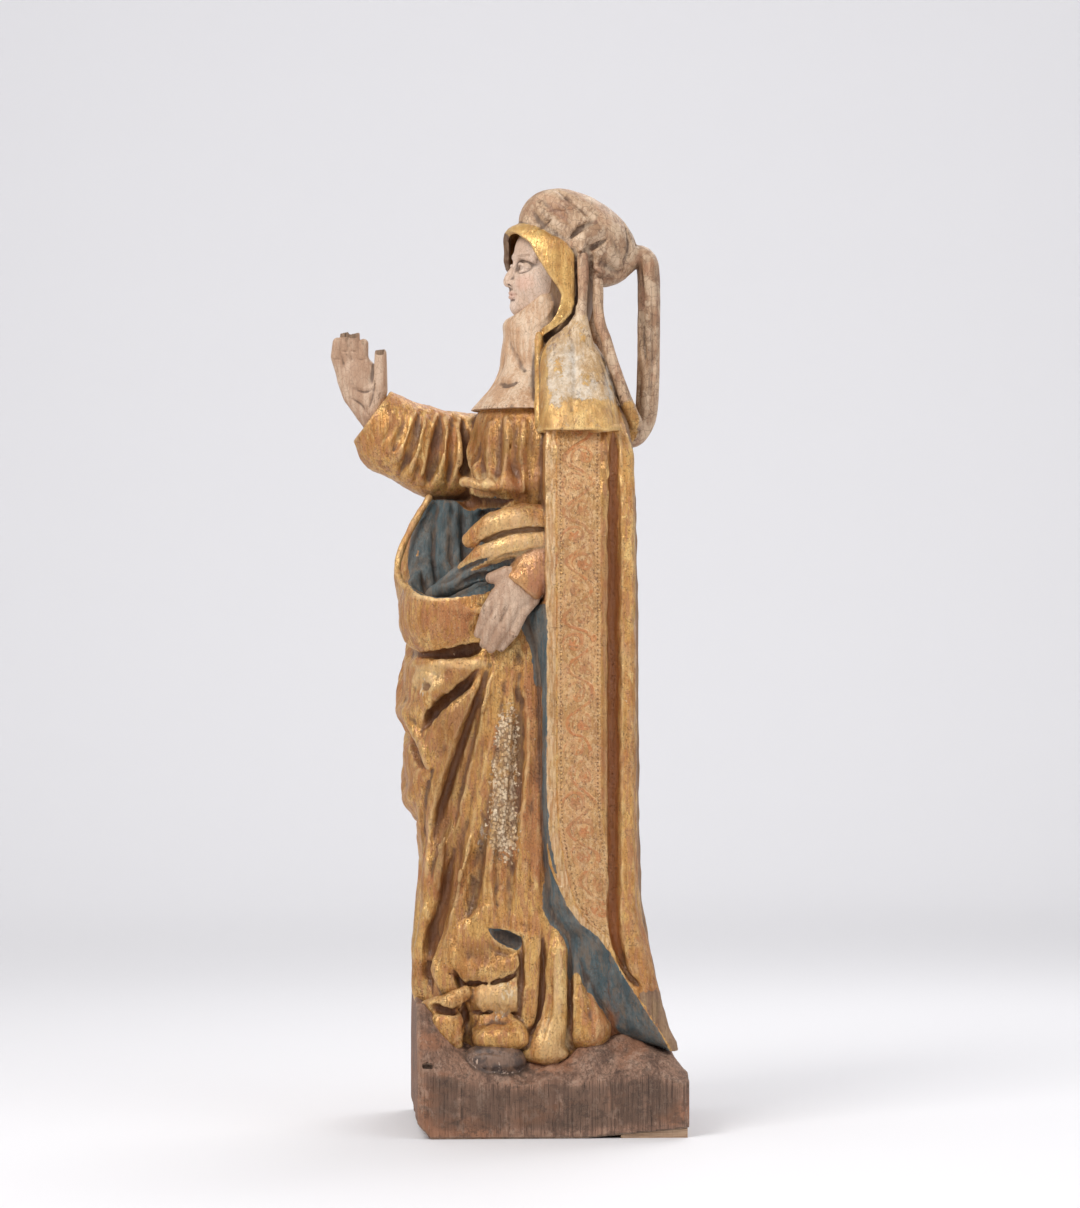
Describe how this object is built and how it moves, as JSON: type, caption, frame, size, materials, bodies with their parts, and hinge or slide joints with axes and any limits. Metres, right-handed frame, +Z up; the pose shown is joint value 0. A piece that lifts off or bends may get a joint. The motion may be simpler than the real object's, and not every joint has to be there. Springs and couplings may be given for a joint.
{
  "type": "oak saint statue",
  "caption": "Standing draped woman saint carved in oak with its plinth, one hand raised and one gathering the robe, worn gilding and paint.",
  "frame": {"origin": "middle of the bounding box, at the height of the surface the statue stands on", "axes": "+Z up, the figure faces -Y, its left side (the pictured one) is +X"},
  "size_m": [0.2698, 0.3502, 0.934],
  "materials": {
    "polychrome_oak": "worn gilding and paint over bare oak",
    "wedge_wood": "unpainted sawn wood"
  },
  "bodies": {
    "root": {"figure": "polychrome_oak", "levelling_wedge": "wedge_wood"}
  },
  "joints": []
}
